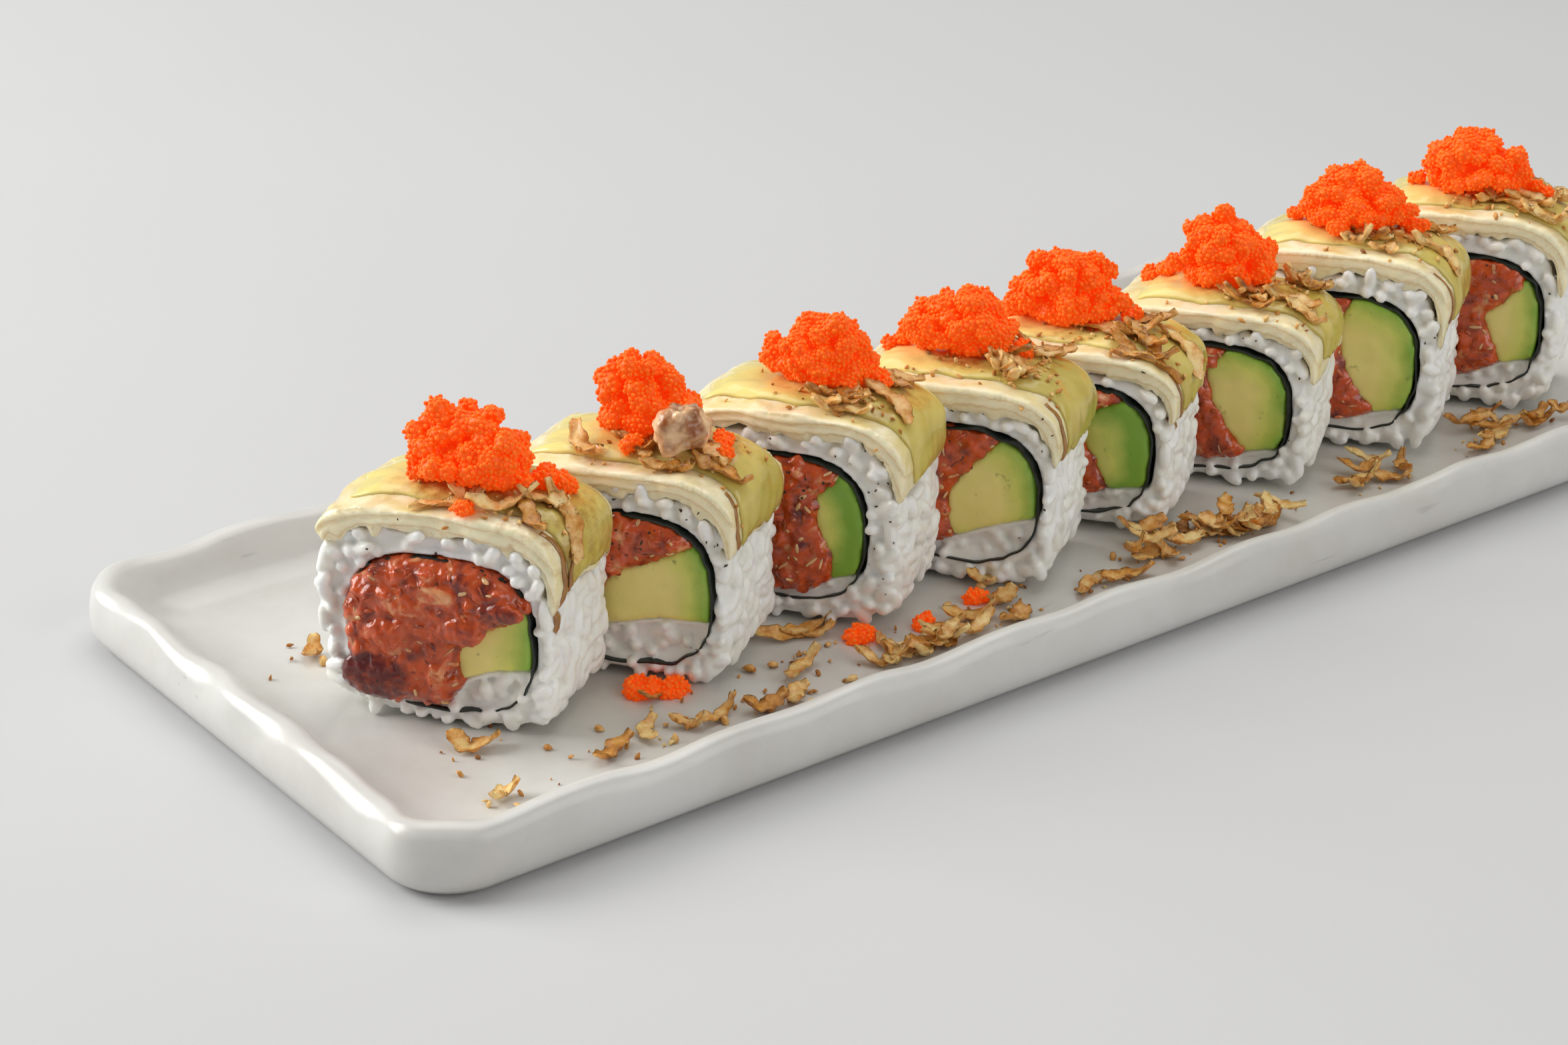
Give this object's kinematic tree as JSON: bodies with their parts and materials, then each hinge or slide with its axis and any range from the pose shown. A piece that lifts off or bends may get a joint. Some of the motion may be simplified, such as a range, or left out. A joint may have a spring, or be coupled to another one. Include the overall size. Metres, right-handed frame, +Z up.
{
  "type": "uramaki roll",
  "caption": "Inside-out sushi roll cut into slices, with fish, avocado, roe and fried shallot on top, in a row on a long white ceramic dish.",
  "frame": {"origin": "on the table under the middle of the dish", "axes": "+X along the dish and the row of slices, +Y towards the empty side of the dish, +Z up; the shown cut faces look towards -X and -Y"},
  "size_m": [0.347, 0.13, 0.0634],
  "materials": {
    "ceramic": "satin white glaze",
    "rice": "moist cooked rice",
    "nori": "damp dark seaweed sheet",
    "tuna": "glossy minced tuna",
    "avocado": "ripe avocado flesh",
    "fish": "seared white fish, translucent",
    "avocado_slice": "thin avocado with brown sauce and fried shallot",
    "roe": "wet orange roe",
    "morsel": "cooked fish in sauce"
  },
  "bodies": {
    "root": {"dish": "ceramic", "slice1_rice": "rice", "slice1_nori": "nori", "slice1_tuna": "tuna", "slice1_avocado": "avocado", "slice1_fish": "fish", "slice1_avocado_slice": "avocado_slice", "slice1_roe": "roe", "slice2_rice": "rice", "slice2_nori": "nori", "slice2_tuna": "tuna", "slice2_avocado": "avocado", "slice2_fish": "fish", "slice2_avocado_slice": "avocado_slice", "slice2_roe": "roe", "slice3_rice": "rice", "slice3_nori": "nori", "slice3_tuna": "tuna", "slice3_avocado": "avocado", "slice3_fish": "fish", "slice3_avocado_slice": "avocado_slice", "slice3_roe": "roe", "slice4_rice": "rice", "slice4_nori": "nori", "slice4_tuna": "tuna", "slice4_avocado": "avocado", "slice4_fish": "fish", "slice4_avocado_slice": "avocado_slice", "slice4_roe": "roe", "slice5_rice": "rice", "slice5_nori": "nori", "slice5_tuna": "tuna", "slice5_avocado": "avocado", "slice5_fish": "fish", "slice5_avocado_slice": "avocado_slice", "slice5_roe": "roe", "slice6_rice": "rice", "slice6_nori": "nori", "slice6_tuna": "tuna", "slice6_avocado": "avocado", "slice6_fish": "fish", "slice6_avocado_slice": "avocado_slice", "slice6_roe": "roe", "slice7_rice": "rice", "slice7_nori": "nori", "slice7_tuna": "tuna", "slice7_avocado": "avocado", "slice7_fish": "fish", "slice7_avocado_slice": "avocado_slice", "slice7_roe": "roe", "slice8_rice": "rice", "slice8_nori": "nori", "slice8_tuna": "tuna", "slice8_avocado": "avocado", "slice8_fish": "fish", "slice8_avocado_slice": "avocado_slice", "slice8_roe": "roe", "slice2_morsel": "morsel"}
  },
  "joints": []
}
